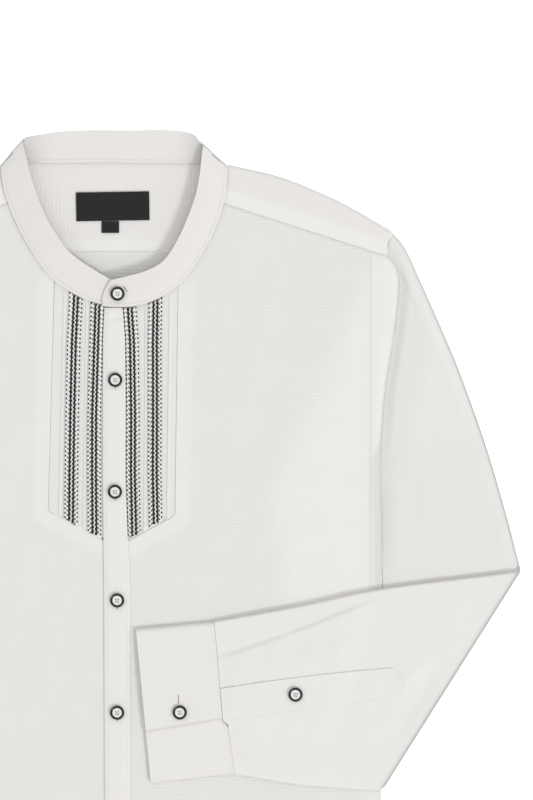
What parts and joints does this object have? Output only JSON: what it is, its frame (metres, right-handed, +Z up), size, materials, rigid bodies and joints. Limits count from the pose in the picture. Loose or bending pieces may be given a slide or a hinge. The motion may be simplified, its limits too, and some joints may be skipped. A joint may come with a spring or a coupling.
{
  "type": "koko shirt",
  "caption": "Long-sleeved shirt with a band collar, tucked and embroidered front insets and a button front, laid flat face up with one sleeve folded over the front.",
  "frame": {"origin": "on the surface that the shirt lies on, under the middle of the chest, level with the underarms", "axes": "+Z up from the surface, +Y towards the collar, +X towards the wearer's left"},
  "size_m": [0.8505, 0.7798, 0.0157],
  "materials": {
    "white_weave": "matt off-white cotton with a fine rib",
    "white_smooth": "matt off-white cotton, pressed smooth",
    "embroidered_tape": "black and white embroidered tape",
    "black_woven": "black woven label cloth with a slight sheen",
    "button": "glossy black rim round a white centre with a thread cross"
  },
  "bodies": {
    "root": {"back": "white_weave", "yoke": "white_smooth", "left_front": "white_weave", "right_front": "white_weave", "left_bib": "white_smooth", "right_bib": "white_smooth", "placket": "white_smooth", "tape_1": "embroidered_tape", "tape_2": "embroidered_tape", "tape_3": "embroidered_tape", "tape_4": "embroidered_tape", "collar": "white_smooth", "left_sleeve": "white_weave", "right_sleeve": "white_weave", "left_cuff": "white_smooth", "right_cuff": "white_smooth", "left_sleeve_band": "white_smooth", "right_sleeve_band": "white_smooth", "button_1": "button", "button_2": "button", "button_3": "button", "button_4": "button", "button_5": "button", "button_6": "button", "button_7": "button", "left_cuff_button": "button", "left_band_button": "button", "right_cuff_button": "button", "right_band_button": "button", "label": "black_woven", "size_tab": "black_woven"}
  },
  "joints": []
}
